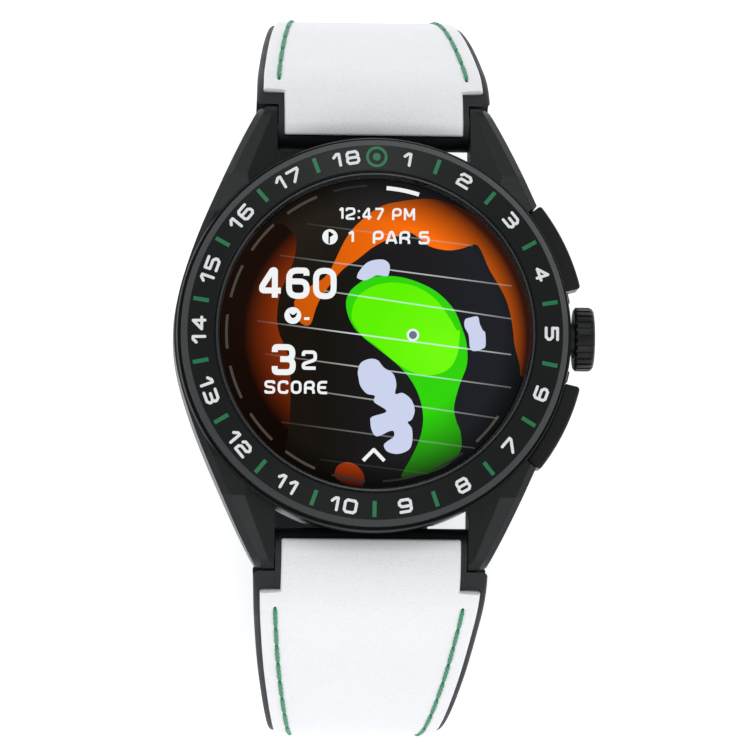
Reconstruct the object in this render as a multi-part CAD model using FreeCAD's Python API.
import FreeCAD, Part
import math
import os

# Golf GPS watch on a closed strap loop.  The origin is at the centre of the case back's
# flat outer face, +Z points out of the dial, +Y towards 12 o'clock and +X towards the crown.
# "Upper" is the +Y side and "lower" the -Y side.  All lengths are in millimetres.

V = FreeCAD.Vector
os.makedirs("parts", exist_ok=True)

# ------------------------------------------------------------- shared dimensions
case_r = 22.5
flank_r = 22.75                    # lug outline where it crosses the X axis
case_bottom_z = 0.45
cavity_r = 17.6
back_r, back_t = 20.4, 1.5         # screwed case back
back_play = 0.05                   # round the case back
seat_z, rim_z = 9.45, 9.75         # seat of the bezel, thin rim outside its foot
neck_r, neck_top_z = 18.6, 10.9
screw_circle_r, screw_hole_r = 19.3, 0.4

bezel_r, bezel_in_r = 22.0, 18.2
band_r0, band_z0 = 18.45, 12.95    # inner edge of the numeral band
band_r1, band_z1 = 21.3, 12.35     # outer edge of the numeral band
inlay_depth = 0.30
inlay_z0, inlay_z1 = 11.8, 13.4    # height of inlay blanks before trimming to the band
crystal_r = 18.15
crystal_z0, crystal_edge_z, crystal_dome = 11.1, 12.85, 0.5
display_r, display_z0, display_z1 = 17.5, 9.8, 11.1
frame_in_r, frame_z0, frame_z1 = 16.2, 2.3, 9.7
board_r, board_z0, board_t = 16.0, 7.7, 0.8
board_top = board_z0 + board_t

lug_half_gap = 22.1 / 2            # between the lugs of one pair
bar_y, bar_z = 24.3, 3.5           # spring bar axis
nose_r = 2.9                       # the next four are about the spring bar axis: lug nose
knuckle_r = 2.6                    # strap end
swing_r = 3.15                     # relief in the case for the strap end
shoulder_r = 3.1                   # shoulder of the wide strap
bar_r, bar_end_r = 0.9, 0.45

crown_z = 6.0                      # axis height of crown and pushers
crown_r, crown_x0, crown_x1 = 3.66, 22.95, 25.25
pusher_angle = 26.0                # either side of the crown
pusher_half, pocket_half = 12.5, 13.05     # half lengths of cap and pocket, degrees
pusher_r0, pusher_r1 = 22.6, 24.35
pusher_z0, pusher_z1 = 3.9, 8.1
pocket_play_z = 0.5
stem_r, bore_r, tube_r = 1.10, 1.15, 2.0
groove_r, groove_len = 0.75, 0.7   # gasket groove in each stem
gasket_r = 1.13
coil_turns = 3

strap_end_half = lug_half_gap - 0.1
strap_half = 13.4                  # widest strap half width
facing_end_half = 10.25            # facing between the lugs
facing_sink = 0.45                 # facing below and above the rubber surface
strap_border = 0.75                # rubber border outside the facing
seam_in = 2.5                      # seam line inside the strap edge
stitch_pitch, stitch_len, thread_r = 4.4, 4.05, 0.24
loop_z = -45.8                     # strap mid plane at the clasp
tail_y = 8.0                       # reach of the lower strap past the Y origin
hole_pitch, hole_r, hole_slot = 5.5, 1.1, 1.3
lever_x0, lever_x1, lever_half = -8.6, -6.4, 0.45      # slot for the release lever

clasp_half, wall_t = 11.9, 1.0
wall_in = clasp_half - wall_t
clasp_free_y, clasp_end_y = -16.5, 22.2
floor_z0, floor_z1 = -44.0, -43.2
plate_z0, plate_z1 = -48.6, -47.4
hinge_y, hinge_z = 15.5, -46.6
hinge_pin_r, clasp_bar_r = 0.6, 0.75
roll_half = 10.8                   # half width of the cover's hinge roll
clasp_bar_y = 20.5
corner_r, edge_r = 2.0, 0.55       # clasp corners and eased edges
peg_y, peg_x, peg_r, peg_top = -6.0, 3.5, 0.9, -45.6
button_y0, button_y1 = -12.95, -8.05
button_z0, button_z1 = -46.75, -45.25
button_play, button_proud = 0.1, 1.0
button_foot_x = 10.45


# ----------------------------------------------------------------------- helpers
def cyl(start, axis, radius, length):
    return Part.makeCylinder(radius, length, V(*start), V(*axis))


def z_cyl(radius, z0, z1, x=0, y=0):
    return cyl((x, y, z0), (0, 0, 1), radius, z1 - z0)


def x_cyl(radius, x0, x1, y, z):
    return cyl((x0, y, z), (1, 0, 0), radius, x1 - x0)


def outward(angle):
    """Unit vector away from the Z axis, degrees from +X."""
    return V(math.cos(math.radians(angle)), math.sin(math.radians(angle)), 0)


def radial_cyl(angle, start, radius, length):
    """Cylinder running outwards at crown height from the given distance."""
    axis = outward(angle)
    return Part.makeCylinder(radius, length, axis * start + V(0, 0, crown_z), axis)


def box(x0, x1, y0, y1, z0, z1):
    """Box between two limits on each axis, in either order."""
    corner = V(min(x0, x1), min(y0, y1), min(z0, z1))
    return Part.makeBox(abs(x1 - x0), abs(y1 - y0), abs(z1 - z0), corner)


def turn(shape, angle):
    shape.rotate(V(0, 0, 0), V(0, 0, 1), angle)
    return shape


def polygon_face(points):
    return Part.Face(Part.makePolygon(points + [points[0]]))


def rev(points):
    """Solid of revolution about Z, points (radius, z)."""
    return polygon_face([V(r, 0, z) for r, z in points]).revolve(V(0, 0, 0), V(0, 0, 1), 360)


def rev_x(points, angle=0.0):
    """Solid of revolution about a radial axis at crown height, points (x, radius)."""
    shape = polygon_face([V(x, r, 0) for x, r in points]).revolve(V(0, 0, 0), V(1, 0, 0), 360)
    shape.translate(V(0, 0, crown_z))
    return turn(shape, angle)


def collar(x0, x1, inner_r, outer_r, angle=0.0):
    return rev_x([(x0, inner_r), (x1, inner_r), (x1, outer_r), (x0, outer_r)], angle)


def stem_gasket(x0, angle=0.0):
    return collar(x0, x0 + groove_len, groove_r, gasket_r, angle)


def ring(outer_r, inner_r, z0, z1):
    return z_cyl(outer_r, z0, z1).cut(z_cyl(inner_r, z0 - 1, z1 + 1))


def sector(r0, r1, a0, a1, z0, z1):
    """Part of a ring between two directions, degrees from +X."""
    wedge = Part.makeCylinder(r1, z1 - z0, V(0, 0, z0), V(0, 0, 1), a1 - a0)
    return turn(wedge, a0).cut(z_cyl(r0, z0 - 1, z1 + 1))


def lines(points):
    """Straight edges joining successive points."""
    return [Part.makeLine(start, end) for start, end in zip(points, points[1:])]


def spline(points):
    curve = Part.BSplineCurve()
    curve.interpolate(points)
    return curve.toShape()


def mirror_x(shape):
    return shape.mirror(V(0, 0, 0), V(1, 0, 0))


def mirror_y(shape):
    return shape.mirror(V(0, 0, 0), V(0, 1, 0))


def fuse(items):
    return items[0].multiFuse(items[1:]).removeSplitter()


def cut_each(shape, tools):
    for tool in tools:
        shape = shape.cut(tool)
    return shape


def vertical_edges(shape):
    return [edge for edge in shape.Edges if edge.BoundBox.ZLength > 1]


def level_edges(shape, z):
    return [edge for edge in shape.Edges
            if edge.BoundBox.ZLength < 0.01 and abs(edge.BoundBox.ZMin - z) < 0.01]


def coil(angle, start, radius, wire, length):
    """Coil spring on a radial axis at crown height, as one swept solid."""
    rise = length - 2.2 * wire
    helix = Part.makeHelix(rise / coil_turns, rise, radius)
    profile = Part.Wire([Part.makeCircle(wire / 2, V(radius, 0, 0), V(0, 1, 0))])
    spring = Part.Wire(helix.Edges).makePipeShell([profile], True, True)
    spring.translate(V(0, 0, 1.1 * wire))
    axis = outward(angle)
    frame = FreeCAD.Placement(axis * start + V(0, 0, crown_z),
                              FreeCAD.Rotation(V(0, 0, 1), axis))
    spring.Placement = frame.multiply(spring.Placement)
    return spring


def save(name, shape):
    """Write the solids of a piece, bare if there is only one."""
    solids = shape.Solids
    piece = solids[0] if len(solids) == 1 else Part.makeCompound(solids)
    piece.exportStep("parts/" + name + ".step")


# ----------------------------------------------------------------- case and lugs
# outer edge of the +X +Y lug in plan, (x, y) from the tip to the X axis
lug_flank = [(13.25, 26.15), (14.92, 23.0), (16.45, 19.8), (17.62, 17.2), (18.72, 14.7),
             (19.85, 12.0), (20.75, 9.6), (21.48, 7.4), (22.15, 5.0), (flank_r, 0.0)]
lug_root_x = 12.0
screw_at = [(screw_circle_r * outward(angle).x, screw_circle_r * outward(angle).y)
            for angle in (45, 135, 225, 315)]


def lug_side():
    """Side view of a lug as a face in the YZ plane at x = -1."""
    def nose(angle):
        return V(-1, bar_y + nose_r * math.cos(math.radians(angle)),
                 bar_z + nose_r * math.sin(math.radians(angle)))

    nose_top, nose_bottom = nose(70), nose(-80)
    top = [V(-1, y, z) for y, z in ((-1, 1.0), (-1, 9.3), (14.0, 9.3), (18.4, 8.62))]
    arc = Part.Arc(nose_top, nose(0), nose_bottom).toShape()
    bottom = [nose_bottom, V(-1, 20.0, 1.0), V(-1, -1, 1.0)]
    return Part.Face(Part.Wire(lines(top + [nose_top]) + [arc] + lines(bottom)))


def facet_cutter():
    """Wedge above the lug's inner facet, a plane through a line from the tip's inner
    corner to the bezel that falls 12 degrees towards the strap."""
    tip, bezel_end = V(11.2, 26.8, 5.68), V(15.5, 16.0, 9.46)
    along = bezel_end.sub(tip)
    plan = V(along.x, along.y, 0).normalize()
    fall = V(plan.y, -plan.x, -math.tan(math.radians(12.0))) * 14
    near, far = tip.sub(along), bezel_end.add(along)
    plane = polygon_face([near, far, far.add(fall), near.add(fall)])
    return plane.extrude(V(0, 0, 9)).common(box(0, 30, 12.0, 30, 0, 14))


def make_lug():
    """The lug at +X +Y."""
    flank = [V(x, y, 0) for x, y in lug_flank]
    flank_edge = spline(flank)
    root = V(lug_root_x, 0, 0)
    inside = [root, V(lug_half_gap, 16.5, 0), V(lug_half_gap, 27.15, 0), flank[0]]
    outline = Part.Wire(lines(inside) + [flank_edge] + lines([flank[-1], root]))
    lug = Part.Face(outline).extrude(V(0, 0, 14)).common(lug_side().extrude(V(40, 0, 0)))

    def flank_edges(shape, wanted):
        """Edges that follow the flank at a wanted height."""
        found = []
        for edge in shape.Edges:
            bounds = edge.BoundBox
            mid = edge.valueAt((edge.FirstParameter + edge.LastParameter) / 2)
            on_flank = Part.Vertex(mid.x, mid.y, 0).distToShape(flank_edge)[0] < 0.02
            if on_flank and bounds.XLength + bounds.YLength > 0.8 and wanted(mid.z):
                found.append(edge)
        return found

    for size, wanted in ((0.75, lambda z: z > 5.0), (0.6, lambda z: z < 2.0)):
        # the bevel may fail on the curved flank; the lug then keeps its sharp edge
        try:
            bevelled = lug.makeChamfer(size, flank_edges(lug, wanted))
            if bevelled.isValid() and bevelled.Volume > 0.8 * lug.Volume:
                lug = bevelled
        except Exception:
            pass
    # the facet is left out if the cut fails or breaks up the lug
    try:
        faceted = lug.cut(facet_cutter())
        if (faceted.isValid() and len(faceted.Solids) == 1
                and faceted.Volume > 0.8 * lug.Volume):
            lug = faceted
    except Exception:
        pass
    return lug


def make_case():
    hole_r = back_r + back_play
    case = rev([(hole_r, case_bottom_z), (21.2, case_bottom_z), (22.05, 1.3), (case_r, 2.5),
                (case_r, seat_z), (22.38, rim_z), (22.22, rim_z), (22.22, seat_z),
                (neck_r, seat_z), (neck_r, neck_top_z), (cavity_r, neck_top_z),
                (cavity_r, back_t), (hole_r, back_t)])
    lug = make_lug()
    case = case.multiFuse([lug, mirror_x(lug), mirror_y(lug), mirror_x(mirror_y(lug))])
    case = cut_each(case, [z_cyl(cavity_r, -1, 19), z_cyl(hole_r, -1, back_t)])
    for side in (1, -1):
        # relief between the lugs for the swinging strap end
        slot = x_cyl(swing_r, -lug_half_gap, lug_half_gap, side * bar_y, bar_z)
        slot = slot.fuse(box(-lug_half_gap, lug_half_gap, side * 21.9, side * 31, -2, bar_z))
        case = case.cut(slot)
        # blind spring bar bores in the lugs
        for hand in (1, -1):
            start = (hand * (lug_half_gap - 0.5), side * bar_y, bar_z)
            case = case.cut(cyl(start, (hand, 0, 0), 0.5, 1.75))
    # pockets, stem bores and spring seats of the pushers
    z0, z1 = pusher_z0 - pocket_play_z, pusher_z1 + pocket_play_z
    for angle in (pusher_angle, -pusher_angle):
        a0, a1 = angle - pocket_half, angle + pocket_half
        case = cut_each(case, [sector(21.9, 26, a0, a1, z0, z1),
                               sector(22.45, 26, a0, a1, z0, 12),
                               radial_cyl(angle, 16, bore_r, 8),
                               radial_cyl(angle, 20.3, 1.9, 4)])
    case = cut_each(case, [radial_cyl(0, 16, tube_r, 8),                # crown tube bore
                           radial_cyl(0, 22.1, 3.3, 3),                 # crown recess
                           sector(case_r + 0.05, 26, -10.0, 10.0, -1, 12),
                           x_cyl(0.45, -24, -16, 0, crown_z)])          # microphone port
    case = cut_each(case, [z_cyl(screw_hole_r, 0, 4.2, x, y) for x, y in screw_at])
    gasket = ring(18.5, 17.95, back_t, back_t + 0.45)
    save("mid_case", case.cut(gasket).removeSplitter())
    save("case_back_gasket", gasket)


# --------------------------------------------------------------------- case back
contact_x, contact_y = (-4.2, -1.4, 1.4, 4.2), -11.2
contact_r, insulator_r = 0.6, 0.95
sensor_r, sensor_seat_z = 6.5, 1.0


def make_back():
    back = rev([(0, 0), (19.9, 0), (back_r, 0.5), (back_r, back_t), (17.5, back_t),
                (17.5, 2.1), (16.4, 2.1), (16.4, back_t + 0.1), (0, back_t + 0.1)])
    back = cut_each(back, [z_cyl(sensor_r, -1, 4), z_cyl(7.6, sensor_seat_z, 4)])
    back = cut_each(back, [z_cyl(insulator_r, -1, 4, x, contact_y) for x in contact_x])
    for x, y in screw_at:
        back = cut_each(back, [z_cyl(screw_hole_r, -1, 4, x, y), z_cyl(0.72, -1, 0.75, x, y)])
    save("case_back", back)


def make_screws():
    screws = []
    for x, y in screw_at:
        screw = z_cyl(0.7, 0.05, 0.75, x, y).fuse(z_cyl(0.39, 0.6, 4.0, x, y))
        slot = box(x - 0.5, x + 0.5, y - 0.1, y + 0.1, 0, 0.3)
        screws.append(screw.cut(slot).removeSplitter())
    save("case_back_screws", Part.makeCompound(screws))


def make_sensor():
    window_top = 1.35
    save("sensor_window", rev([(0, 0), (6.3, 0), (sensor_r, 0.15), (sensor_r, sensor_seat_z),
                               (7.55, sensor_seat_z), (7.55, window_top), (0, window_top)]))
    save("sensor_board", fuse([z_cyl(7.5, window_top, 1.85),
                               box(-1.6, 1.6, -1.2, 1.2, 1.8, 2.3),
                               box(3.0, 4.6, -0.8, 0.8, 1.8, 2.2),
                               box(-4.6, -3.0, -0.8, 0.8, 1.8, 2.2)]))


def make_contacts():
    contacts, insulators = [], []
    for x in contact_x:
        flange = z_cyl(0.85, 1.6, 1.9, x, contact_y)
        contacts.append(z_cyl(contact_r, 0, 2.0, x, contact_y).fuse(flange).removeSplitter())
        sleeve = z_cyl(insulator_r, 0, 1.6, x, contact_y)
        insulators.append(sleeve.cut(z_cyl(contact_r, -1, 4, x, contact_y)))
    save("charging_contacts", Part.makeCompound(contacts))
    save("contact_insulators", Part.makeCompound(insulators))


# ------------------------------------------------------------ bezel and numerals
stroke = 0.33
wide, tall = 1.28, 1.32            # centreline box of a digit
one_wide = 0.64
mid = tall / 2
cut = 0.22                         # corner cut
digit_gap = 0.53 + stroke
numeral_r = 20.0
hole_count = 18
# centrelines of each digit as polylines of (x, y) from its lower left corner
digit_lines = {
    "0": [[(cut, 0), (wide - cut, 0), (wide, cut), (wide, tall - cut), (wide - cut, tall),
           (cut, tall), (0, tall - cut), (0, cut), (cut, 0)]],
    "1": [[(0.0, tall - 0.36), (0.36, tall), (one_wide, tall), (one_wide, 0)]],
    "2": [[(0, tall - 0.24), (0.2, tall), (wide - 0.26, tall), (wide, tall - 0.26),
           (wide, mid + 0.24), (wide - 0.22, mid + 0.02), (0.24, mid + 0.02),
           (0, mid - 0.22), (0, 0), (wide, 0)]],
    "3": [[(0, tall), (wide - 0.26, tall), (wide, tall - 0.26), (wide, mid + 0.2),
           (wide - 0.2, mid), (0.3, mid)],
          [(wide - 0.2, mid), (wide, mid - 0.2), (wide, 0.26), (wide - 0.26, 0), (0, 0)]],
    "4": [[(wide - 0.3, tall), (0.0, 0.36), (wide + 0.05, 0.36)],
          [(wide - 0.3, tall), (wide - 0.3, 0)]],
    "5": [[(wide, tall), (0, tall), (0, mid + 0.08), (wide - 0.26, mid + 0.08),
           (wide, mid - 0.18), (wide, 0.26), (wide - 0.26, 0), (0, 0)]],
    "6": [[(wide - 0.04, tall), (cut, tall), (0, tall - cut), (0, cut), (cut, 0),
           (wide - cut, 0), (wide, cut), (wide, mid - 0.18), (wide - 0.24, mid + 0.06),
           (0, mid + 0.06)]],
    "7": [[(0, tall), (wide, tall), (wide, tall - 0.22), (0.34, 0)]],
    "8": [[(cut, 0), (wide - cut, 0), (wide, cut), (wide, mid - 0.16), (wide - 0.16, mid),
           (0.16, mid), (0, mid - 0.16), (0, cut), (cut, 0)],
          [(0.16, mid), (0.04, mid + 0.14), (0.04, tall - cut), (cut, tall),
           (wide - cut, tall), (wide - 0.04, tall - cut), (wide - 0.04, mid + 0.14),
           (wide - 0.16, mid)]],
    "9": [[(0.04, 0), (wide - cut, 0), (wide, cut), (wide, tall - cut), (wide - cut, tall),
           (cut, tall), (0, tall - cut), (0, mid + 0.18), (0.24, mid - 0.06),
           (wide, mid - 0.06)]],
}


def digit_width(digit):
    return one_wide if digit == "1" else wide


def stroke_solids(start, end):
    """One straight stroke with round ends, as three solids."""
    dx, dy = end[0] - start[0], end[1] - start[1]
    bar = box(0, math.hypot(dx, dy), -stroke / 2, stroke / 2, inlay_z0, inlay_z1)
    turn(bar, math.degrees(math.atan2(dy, dx)))
    bar.translate(V(start[0], start[1], 0))
    return [bar] + [z_cyl(stroke / 2, inlay_z0, inlay_z1, x, y) for x, y in (start, end)]


def numeral(text, clock):
    """Digits at a clockwise angle from 12, upside down on the lower half to stay readable."""
    x = -(sum(digit_width(digit) for digit in text) + digit_gap * (len(text) - 1)) / 2
    solids = []
    for digit in text:
        pieces = []
        for line in digit_lines[digit]:
            points = [(x + px, py - tall / 2) for px, py in line]
            for start, end in zip(points, points[1:]):
                pieces += stroke_solids(start, end)
        solid = fuse(pieces)
        if 90 < clock < 270:
            turn(solid, 180)
        solid.translate(V(0, numeral_r, 0))
        solids.append(turn(solid, -clock))
        x += digit_width(digit) + digit_gap
    return solids


def band_z(radius):
    """Height of the sloping numeral band."""
    return band_z0 + (radius - band_r0) * (band_z1 - band_z0) / (band_r1 - band_r0)


def make_bezel():
    foot_r = neck_r + 0.05
    bezel = rev([(foot_r, seat_z), (bezel_r, seat_z), (bezel_r, 11.45), (band_r1, band_z1),
                 (band_r0, band_z0), (bezel_in_r, band_z0 - 0.2), (bezel_in_r, 11.0),
                 (foot_r, 11.0)])
    gasket = ring(20.6, 19.8, seat_z, seat_z + 0.4)
    bezel = bezel.cut(gasket)
    # layer of the band that the inlays fill
    r0, r1 = 18.7, 21.2
    layer = rev([(r0, band_z(r0) - inlay_depth), (r1, band_z(r1) - inlay_depth),
                 (r1, band_z(r1)), (r0, band_z(r0))])
    step = 360.0 / hole_count
    digits = []
    for k in range(hole_count):
        digits += numeral(str(k + 1), step / 2 + step * k)
    numerals = Part.makeCompound(digits).common(layer)
    # ticks between the numerals, with a ringed dot at 12
    ticks = [turn(box(-0.23, 0.23, 19.2, 20.98, inlay_z0, inlay_z1), -step * k)
             for k in range(1, hole_count)]
    mark_y = 19.95
    ticks.append(z_cyl(1.22, inlay_z0, inlay_z1, 0, mark_y).cut(z_cyl(0.9, 11, 15, 0, mark_y)))
    ticks.append(z_cyl(0.45, inlay_z0, inlay_z1, 0, mark_y))
    ticks = Part.makeCompound(ticks).common(layer)
    save("bezel_ring", bezel.cut(numerals).cut(ticks))
    save("bezel_gasket", gasket)
    save("bezel_numerals", numerals)
    save("bezel_ticks", ticks)


# ------------------------------------------------------- crystal and electronics
def make_crystal():
    dome_r = (crystal_r ** 2 + crystal_dome ** 2) / (2 * crystal_dome)
    dome = Part.makeSphere(dome_r, V(0, 0, crystal_edge_z + crystal_dome - dome_r))
    blank = rev([(0, crystal_z0), (crystal_r, crystal_z0), (crystal_r, crystal_edge_z),
                 (crystal_r - 0.25, 14), (0, 14)])
    save("crystal", blank.common(dome))
    save("crystal_gasket", ring(crystal_r, 17.65, neck_top_z, crystal_z0))


def make_display():
    save("display_panel", z_cyl(display_r, display_z0, display_z1))
    half, back_y = 3, -15.4
    save("display_flex", fuse([
        box(-half, half, back_y, -13.2, display_z0 - 0.15, display_z0),
        box(-half, half, back_y, -15.25, board_top, display_z0 - 0.1),
        box(-half, half, back_y, -13.6, board_top, 8.62)]))


def make_frame():
    frame = ring(17.5, frame_in_r, frame_z0, frame_z1)
    frame = cut_each(frame, [radial_cyl(pusher_angle, 14, 2.3, 6),
                             radial_cyl(-pusher_angle, 14, 2.3, 6),
                             radial_cyl(0, 14, 2.7, 6),
                             x_cyl(0.7, -18, -14, 0, crown_z)])
    # ledge under the main board, open at the switches and the microphone
    ledge = ring(frame_in_r, 15.2, 7.2, board_z0)
    ledge = ledge.cut(box(8, 20, -12, 12, 0, 10)).cut(box(-20, -12, -3, 3, 0, 10))
    save("inner_frame", frame.fuse(ledge).removeSplitter())


def make_boards():
    save("main_board", z_cyl(board_r, board_z0, board_top))
    save("processor_shield", box(-9, 3, -8, 8, board_top, 9.6))
    antenna = ring(15.9, 14.6, 8.65, 9.5).cut(box(-4, 4, -17, 0, 7, 10))
    foot = box(-0.5, 0.5, 14.8, 15.6, board_top, 8.9)
    save("gps_antenna", antenna.fuse(foot).removeSplitter())
    save("microphone", fuse([box(-15.6, -12.3, -1.4, 1.4, 5.3, 6.7),
                             box(-14.8, -13.0, -1.0, 1.0, 6.6, board_z0)]))


def make_battery():
    battery = box(-11.4, 8.4, -9.6, 9.6, 2.5, 6.7)
    save("battery", battery.makeFillet(0.6, vertical_edges(battery)))


def make_haptic_motor():
    shell = box(-5, 5, -14.3, -10.4, 3.0, 6.2)
    shell = cut_each(shell, [box(-4.6, 4.6, -13.9, -10.8, 3.4, 5.8),      # hollow
                             box(-1.5, 1.5, -11.5, -10, 4.2, 5.2)])       # side window
    foot = box(-4.2, -3.4, -12.8, -11.9, 2.5, 3.1)
    save("haptic_motor_case", shell.fuse(foot).removeSplitter())
    save("haptic_mass", box(-3.9, 3.9, -13.85, -10.85, 3.45, 5.75))


# ------------------------------------------------------------- crown and pushers
def make_crown():
    groove_x = 20.6
    groove_end = groove_x + groove_len
    neck_x0, neck_x1, neck = 24.2, 24.8, 0.8       # stem neck gripped by the cap
    save("crown_tube", rev_x([(17.05, bore_r), (23.75, bore_r), (23.75, 1.85), (22.6, 1.85),
                              (22.6, tube_r), (17.05, tube_r)]))
    save("crown_stem", rev_x([
        (15.3, 0), (15.3, 1.0), (16.6, 1.0), (16.6, 0.8), (17.0, 0.8), (17.0, stem_r),
        (groove_x, stem_r), (groove_x, groove_r), (groove_end, groove_r), (groove_end, stem_r),
        (neck_x0, stem_r), (neck_x0, neck), (neck_x1, neck), (neck_x1, 0)]))
    save("crown_gasket", stem_gasket(groove_x))
    cap = rev_x([(crown_x0, 2.2), (crown_x0, 3.35), (23.2, crown_r), (24.7, crown_r),
                 (25.02, 3.52), (25.2, 3.28), (crown_x1, 3.0), (crown_x1, 0), (neck_x1, 0),
                 (neck_x1, neck), (neck_x0, neck), (neck_x0, 2.2)])
    notch_count, notch_half = 26, 0.17
    notches = []
    for k in range(notch_count):
        notch = box(crown_x0 - 1, crown_x1 - 0.3, -notch_half, notch_half,
                    crown_r - 0.17, crown_r + 1)
        notch.rotate(V(0, 0, 0), V(1, 0, 0), 360.0 / notch_count * k)
        notch.translate(V(0, 0, crown_z))
        notches.append(notch)
    save("crown_cap", cap.cut(Part.makeCompound(notches)))
    # thrust ring with flats above and below
    thrust = collar(16.62, 16.98, 0.85, 1.9)
    save("crown_thrust_ring", cut_each(thrust, [
        box(15, 18, -3, 3, crown_z + side * 1.5, crown_z + side * 4) for side in (1, -1)]))
    save("crown_spring", coil(0, 14.75, radius=1.3, wire=0.24, length=1.87))
    save("crown_switch", fuse([box(12.6, 14.7, -2.4, 2.4, 4.2, board_z0),
                               radial_cyl(0, 14.5, 0.7, 0.44)]))


def pusher_cap(angle):
    cap = sector(pusher_r0, pusher_r1, angle - pusher_half, angle + pusher_half,
                 pusher_z0, pusher_z1)
    # slanted ends: shorter on the outside than on the inside
    for side in (1, -1):
        end = angle + side * pusher_half
        wedge = turn(box(0, 4, 0, side * 4, 2, 10), end + side * 30)
        wedge.translate(outward(end) * pusher_r0)
        cap = cap.cut(wedge)
    # the cap keeps its sharp outer edges if the fillet fails
    try:
        outer = [edge for edge in cap.Edges
                 if min(math.hypot(v.X, v.Y) for v in edge.Vertexes) > pusher_r1 - 0.05]
        rounded = cap.makeFillet(0.45, outer)
        if rounded.isValid():
            cap = rounded
    except Exception:
        pass
    return cap


def make_pushers():
    groove_x, clip_x0, clip_x1, clip_in_r = 18.8, 17.1, 17.4, 0.8
    groove_end = groove_x + groove_len
    switches = []
    for name, angle in (("upper", pusher_angle), ("lower", -pusher_angle)):
        stem = rev_x([(16.0, 0), (16.0, 1.0), (clip_x0, 1.0), (clip_x0, clip_in_r),
                      (clip_x1, clip_in_r), (clip_x1, stem_r), (groove_x, stem_r),
                      (groove_x, groove_r), (groove_end, groove_r), (groove_end, stem_r),
                      (22.9, stem_r), (22.9, 0)], angle)
        prefix = "pusher_" + name
        save(prefix, pusher_cap(angle).fuse(stem).removeSplitter())
        save(prefix + "_gasket", stem_gasket(groove_x, angle))
        save(prefix + "_clip", collar(clip_x0, clip_x1, clip_in_r, 1.8, angle))
        save(prefix + "_spring", coil(angle, 20.32, radius=1.5, wire=0.26, length=2.26))
        switch = fuse([box(13.2, 15.1, -1.8, 1.8, 4.6, board_z0),
                       radial_cyl(0, 15.0, 0.6, 0.38)])
        switches.append(turn(switch, angle))
    save("pusher_switches", Part.makeCompound(switches))


# ------------------------------------------------------------------------ straps
# strap mid lines from spring bar to clasp, (y, z); the lower one is mirrored in Y afterwards
upper_line = [(bar_y, bar_z), (26.4, 3.0), (28.25, 1.5), (30.7, -2.0), (33.4, -6.9),
              (35.8, -12.0), (37.7, -17.3), (38.75, -22.8), (38.9, -28.4), (38.1, -33.8),
              (36.0, -39.0), (32.9, -43.0), (29.8, -45.2), (26.4, -45.78), (23.4, loop_z),
              (clasp_bar_y, loop_z)]
lower_line = [(bar_y, bar_z), (26.5, 3.0), (28.3, 1.4), (31.0, -3.0), (33.8, -8.7),
              (36.7, -14.5), (39.4, -20.4), (41.6, -26.2), (42.6, -31.6), (42.0, -37.0),
              (39.4, -41.6), (35.2, -44.6), (30.6, -45.72), (26.0, loop_z), (20.5, loop_z),
              (13.0, loop_z), (6.0, loop_z), (-1.0, loop_z), (-tail_y, loop_z)]
# (distance along the mid line, half width)
upper_widths = [(0, strap_half), (3, 13.38), (6, 13.26), (9, 13.03), (12, 12.79), (15, 12.53),
                (18, 12.25), (21, 11.94), (24, 11.62), (27, 11.3), (30, 10.98), (34, 10.6),
                (38, 10.3), (44, 9.92), (50, 9.65), (56, 9.5), (140, 9.5)]
lower_widths = [(0, strap_half), (3, 13.38), (6, 13.26), (9, 13.1), (12, 12.92), (15, 12.74),
                (18, 12.53), (21, 12.3), (24, 12.03), (27, 11.74), (30, 11.45), (33, 11.13),
                (36, 10.81), (39, 10.5), (42, 10.2), (48, 9.77), (55, 9.5), (140, 9.5)]
# (distance along the mid line, half thickness)
half_thicknesses = [(0, 2.45), (2, 2.25), (4, 1.98), (6, 1.76), (8, 1.62), (10, 1.52),
                    (14, 1.41), (20, 1.31), (30, 1.2), (48, 1.05), (140, 1.05)]


def interp(table, at):
    """Linear interpolation, held constant beyond the ends of the table."""
    if at <= table[0][0]:
        return table[0][1]
    for (a, value_a), (b, value_b) in zip(table, table[1:]):
        if at <= b:
            return value_a + (value_b - value_a) * (at - a) / (b - a)
    return table[-1][1]


def half_thick(at):
    return interp(half_thicknesses, at)


def station(line, at):
    """Point on the mid line and the normal towards the outside of the loop."""
    param = line.getParameterByLength(at)
    tangent = line.tangentAt(param)
    return line.valueAt(param), V(0, -tangent.z, tangent.y)


def section(point, normal, half, low, high, corner):
    """Rounded rectangle across the strap between two offsets along the normal."""
    r = min(corner, (high - low) / 2.2)
    k = r * (1 - math.sqrt(0.5))
    # each side as start, end and the middle of the corner arc that follows
    sides = [((-half + r, low), (half - r, low), (half - k, low + k)),
             ((half, low + r), (half, high - r), (half - k, high - k)),
             ((half - r, high), (-half + r, high), (-half + k, high - k)),
             ((-half, high - r), (-half, low + r), (-half + k, low + k))]
    sides = [[V(x, point.y + normal.y * h, point.z + normal.z * h) for x, h in side]
             for side in sides]
    edges = []
    for (start, end, arc_mid), following in zip(sides, sides[1:] + sides[:1]):
        edges.append(Part.makeLine(start, end))
        edges.append(Part.Arc(end, arc_mid, following[0]).toShape())
    return Part.Wire(edges)


def strip(line, start, stop, half, low, high, corner, steps):
    """Loft along the mid line; half, low and high are functions of the distance."""
    wires = []
    for k in range(steps + 1):
        at = start + (stop - start) * k / steps
        wires.append(section(*station(line, at), half(at), low(at), high(at), corner))
    return Part.makeLoft(wires, True, False)


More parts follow.
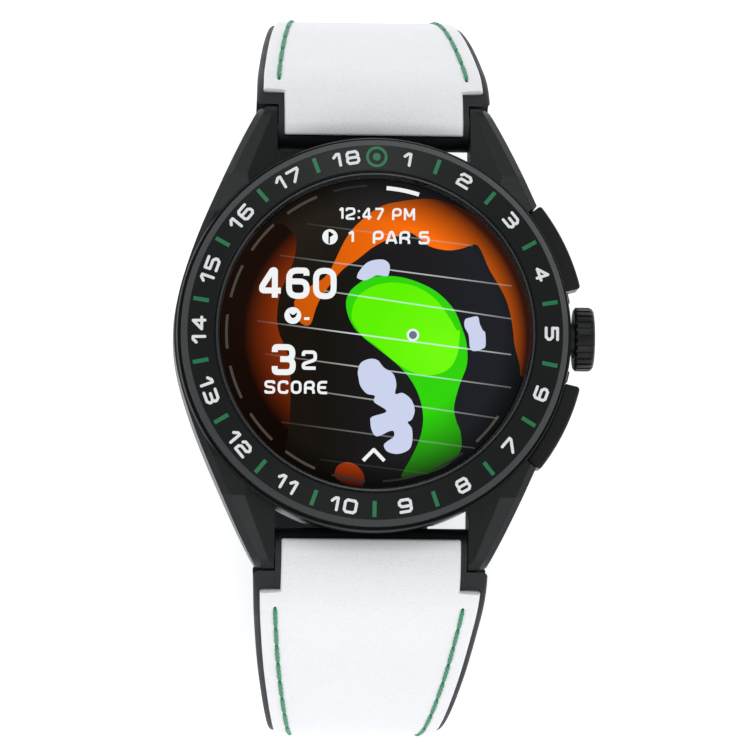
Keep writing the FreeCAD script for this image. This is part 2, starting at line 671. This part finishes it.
def strap_rubber(line, half):
    def low(at):
        return -half_thick(at)

    body = strip(line, 1.6, line.Length, half, low, half_thick, 0.5, 36)
    body = body.cut(x_cyl(shoulder_r, -20, 20, bar_y, bar_z))
    narrow = strip(line, 0.0, 5.0, lambda at: strap_end_half, low, half_thick, 0.05, 5)
    knuckle = x_cyl(knuckle_r, -strap_end_half, strap_end_half, bar_y, bar_z)
    return body.multiFuse([narrow, knuckle])


def strap_facing(line, half, start, stop):
    """Facing let into the rubber, narrow between the lugs and wrapped over the knuckle."""
    def low(at):
        return half_thick(at) - facing_sink

    def high(at):
        return half_thick(at) + facing_sink

    body = strip(line, start, stop, lambda at: half(at) - strap_border, low, high, 0.2, 36)
    narrow = strip(line, 0.0, 6.0, lambda at: facing_end_half, low, high, 0.05, 5)
    lead = x_cyl(2.9, -facing_end_half, facing_end_half, bar_y, bar_z)
    lead = lead.cut(x_cyl(2.0, -11, 11, bar_y, bar_z))
    wedge = polygon_face([V(-11, bar_y, bar_z), V(-11, bar_y + 0.2, bar_z + 6),
                          V(-11, bar_y - 3.1, bar_z + 6)]).extrude(V(22, 0, 0))
    return body.multiFuse([narrow, lead.common(wedge)])


def strap_holes():
    """Two rows of slotted holes for the clasp pegs, on the unmirrored strap."""
    tools = []
    z0, z1 = loop_z - 4, loop_z + 4
    for k in range(-1, 4):
        y = -peg_y + hole_pitch * k
        for x in (peg_x, -peg_x):
            ends = z_cyl(hole_r, z0, z1, x, y).fuse(z_cyl(hole_r, z0, z1, x, y - hole_slot))
            tools.append(ends.fuse(box(x - hole_r, x + hole_r, y - hole_slot, y, z0, z1)))
    return Part.makeCompound(tools)


def strap_stitches(line, half, start, stop):
    """Threads in two seams, half sunk in the facing."""
    stitches = []
    at = start
    while at + stitch_len < stop:
        for hand in (1, -1):
            points = []
            for k in range(4):
                along = at + stitch_len * k / 3.0
                point, normal = station(line, along)
                h = half_thick(along) + facing_sink
                points.append(V(hand * (half(along) - seam_in),
                                point.y + normal.y * h, point.z + normal.z * h))
            run = spline(points)
            circle = Part.makeCircle(thread_r, points[0], run.tangentAt(run.FirstParameter))
            thread = Part.Wire([run]).makePipeShell([Part.Wire([circle])], True, False)
            # a sweep that fails to close gives way to a straight thread
            if not thread.isValid() or thread.Volume <= 0:
                chord = points[-1].sub(points[0])
                thread = Part.makeCylinder(thread_r, chord.Length, points[0], chord)
            stitches.append(thread)
        at += stitch_pitch
    return Part.makeCompound(stitches)


def make_strap(name, points, widths, facing_start, facing_gap, seam_start, seam_gap):
    """Facing and seam end the given gaps short of the strap's clasp end."""
    line = spline([V(0, y, z) for y, z in points])
    length = line.Length

    def half(at):
        return interp(widths, at)

    base = strap_rubber(line, half)
    facing = strap_facing(line, half, facing_start, length - facing_gap)
    lever_slot = box(lever_x0, lever_x1, bar_y - lever_half, bar_y + lever_half, -1, bar_z)
    base = cut_each(base, [facing, x_cyl(bar_r, -12, 12, bar_y, bar_z), lever_slot])
    if name == "lower":
        holes = strap_holes()
        base, facing = base.cut(holes), facing.cut(holes)
    else:
        # barrel round the clasp bar
        end_half = half(length)
        base = base.fuse(x_cyl(1.7, -end_half, end_half, clasp_bar_y, loop_z))
        base = base.cut(x_cyl(clasp_bar_r, -12, 12, clasp_bar_y, loop_z))
    stitching = strap_stitches(line, half, seam_start, length - seam_gap)
    for piece, shape in (("base", base.removeSplitter()), ("facing", facing.removeSplitter()),
                         ("stitching", stitching)):
        save(name + "_strap_" + piece, mirror_y(shape) if name == "lower" else shape)


def make_spring_bar(name, y):
    """Spring bar with a fixed tip at +X and a release lever in its hollow -X end."""
    bar = x_cyl(bar_r, -10.8, 10.8, y, bar_z).fuse(x_cyl(bar_end_r, 10.7, 12.15, y, bar_z))
    slot = box(lever_x0, lever_x1, y - lever_half, y + lever_half, 0, bar_z)
    bar = cut_each(bar, [x_cyl(0.5, -11, -5, y, bar_z), slot])
    save(name + "_spring_bar", bar.removeSplitter())
    lever = x_cyl(bar_end_r, -12.15, -7.15, y, bar_z).fuse(z_cyl(0.4, 0.1, bar_z, -8.1, y))
    save(name + "_release_lever", lever.removeSplitter())


# ------------------------------------------------------------------------- clasp
def round_free_corners(shape):
    """Round the vertical corners at the clasp's -Y end."""
    return shape.makeFillet(corner_r, [edge for edge in vertical_edges(shape)
                                       if edge.BoundBox.YMax < clasp_free_y + 0.1])


def make_clasp_base():
    wall_z = plate_z1 + 0.1
    pieces = [box(-clasp_half, clasp_half, clasp_free_y, clasp_end_y, floor_z0, floor_z1)]
    for side in (1, -1):
        outer = side * clasp_half
        pieces.append(box(side * wall_in, outer, clasp_free_y, clasp_end_y, wall_z, floor_z1))
        # thicker cheek at the clasp bar
        pieces.append(box(side * 9.6, outer, 18.9, clasp_end_y, wall_z, floor_z1))
    base = cut_each(fuse(pieces), [x_cyl(clasp_bar_r, -13, 13, clasp_bar_y, loop_z),
                                   x_cyl(hinge_pin_r, -13, 13, hinge_y, hinge_z)])
    for side in (1, -1):
        base = base.cut(box(side * (wall_in - 1), side * (clasp_half + 1),
                            button_y0 - button_play, button_y1 + button_play,
                            button_z0 - button_play, button_z1 + button_play))
    # window in the floor over the strap tail
    window = box(-6.0, 6.0, -4.0, 12.0, floor_z0 - 1, floor_z1 + 1)
    base = base.cut(window.makeFillet(2.0, vertical_edges(window)))
    # envelope with rounded corners and eased edges on the wrist side
    envelope = box(-clasp_half, clasp_half, clasp_free_y, clasp_end_y, plate_z0, floor_z1)
    envelope = round_free_corners(envelope)
    envelope = envelope.makeFillet(1.2, [edge for edge in vertical_edges(envelope)
                                         if edge.BoundBox.YMin > clasp_end_y - 0.1])
    envelope = envelope.makeFillet(edge_r, level_edges(envelope, floor_z1))
    save("clasp_base", base.common(envelope).removeSplitter())


def make_clasp_pins():
    half = clasp_half - 0.1
    save("clasp_bar", x_cyl(clasp_bar_r, -half, half, clasp_bar_y, loop_z))
    save("clasp_hinge_pin", x_cyl(hinge_pin_r, -clasp_half, clasp_half, hinge_y, hinge_z))


def make_clasp_cover():
    plate = box(-clasp_half, clasp_half, clasp_free_y, 12.9, plate_z0, plate_z1)
    plate = round_free_corners(plate)
    # the edge at the hinge end stays sharp
    plate = plate.makeFillet(edge_r, [edge for edge in level_edges(plate, plate_z0)
                                      if edge.BoundBox.YMin < 12.8])
    tongue = box(-roll_half, roll_half, 12.5, 16.4, plate_z0, hinge_z).common(
        x_cyl(2.4, -11, 11, hinge_y, hinge_z).fuse(
            box(-11, 11, 12, hinge_y, plate_z0, plate_z1)))
    roll = x_cyl(1.35, -roll_half, roll_half, hinge_y, hinge_z)
    pegs = [z_cyl(peg_r, plate_z1 - 0.4, peg_top, x, peg_y) for x in (peg_x, -peg_x)]
    cover = plate.multiFuse([tongue, roll] + pegs)
    cover = cut_each(cover, [x_cyl(0.65, -12, 12, hinge_y, hinge_z),
                             box(-10.9, 10.9, 10.4, hinge_y - 1.2, plate_z1, hinge_z + 3)])
    save("clasp_cover", cover.removeSplitter())


def make_clasp_buttons():
    spring_z0, spring_z1 = -44.35, -44.05
    inner_x, outer_x = wall_in - 0.05, clasp_half + button_proud
    for name, side in (("right", 1), ("left", -1)):
        button = box(side * inner_x, side * outer_x, button_y0, button_y1,
                     button_z0, button_z1)
        button = button.makeFillet(0.3, [
            edge for edge in button.Edges
            if abs(abs(edge.BoundBox.XMin) - outer_x) < 0.01 and edge.BoundBox.XLength < 0.01])
        flange = box(side * button_foot_x, side * inner_x, -13.6, -7.4, -47.0, spring_z1)
        save("clasp_button_" + name, button.fuse(flange).removeSplitter())
    save("clasp_spring", box(-button_foot_x, button_foot_x, -11.3, -9.7, spring_z0, spring_z1))


# ------------------------------------------------------------------------- build
make_case()
make_back()
make_screws()
make_sensor()
make_contacts()
make_bezel()
make_crystal()
make_display()
make_frame()
make_boards()
make_battery()
make_haptic_motor()
make_crown()
make_pushers()
make_strap("upper", upper_line, upper_widths, facing_start=2.9, facing_gap=3.5,
           seam_start=4.8, seam_gap=12)
make_strap("lower", lower_line, lower_widths, facing_start=3.4, facing_gap=1.2,
           seam_start=6.0, seam_gap=34)
make_spring_bar("upper", bar_y)
make_spring_bar("lower", -bar_y)
make_clasp_base()
make_clasp_pins()
make_clasp_cover()
make_clasp_buttons()
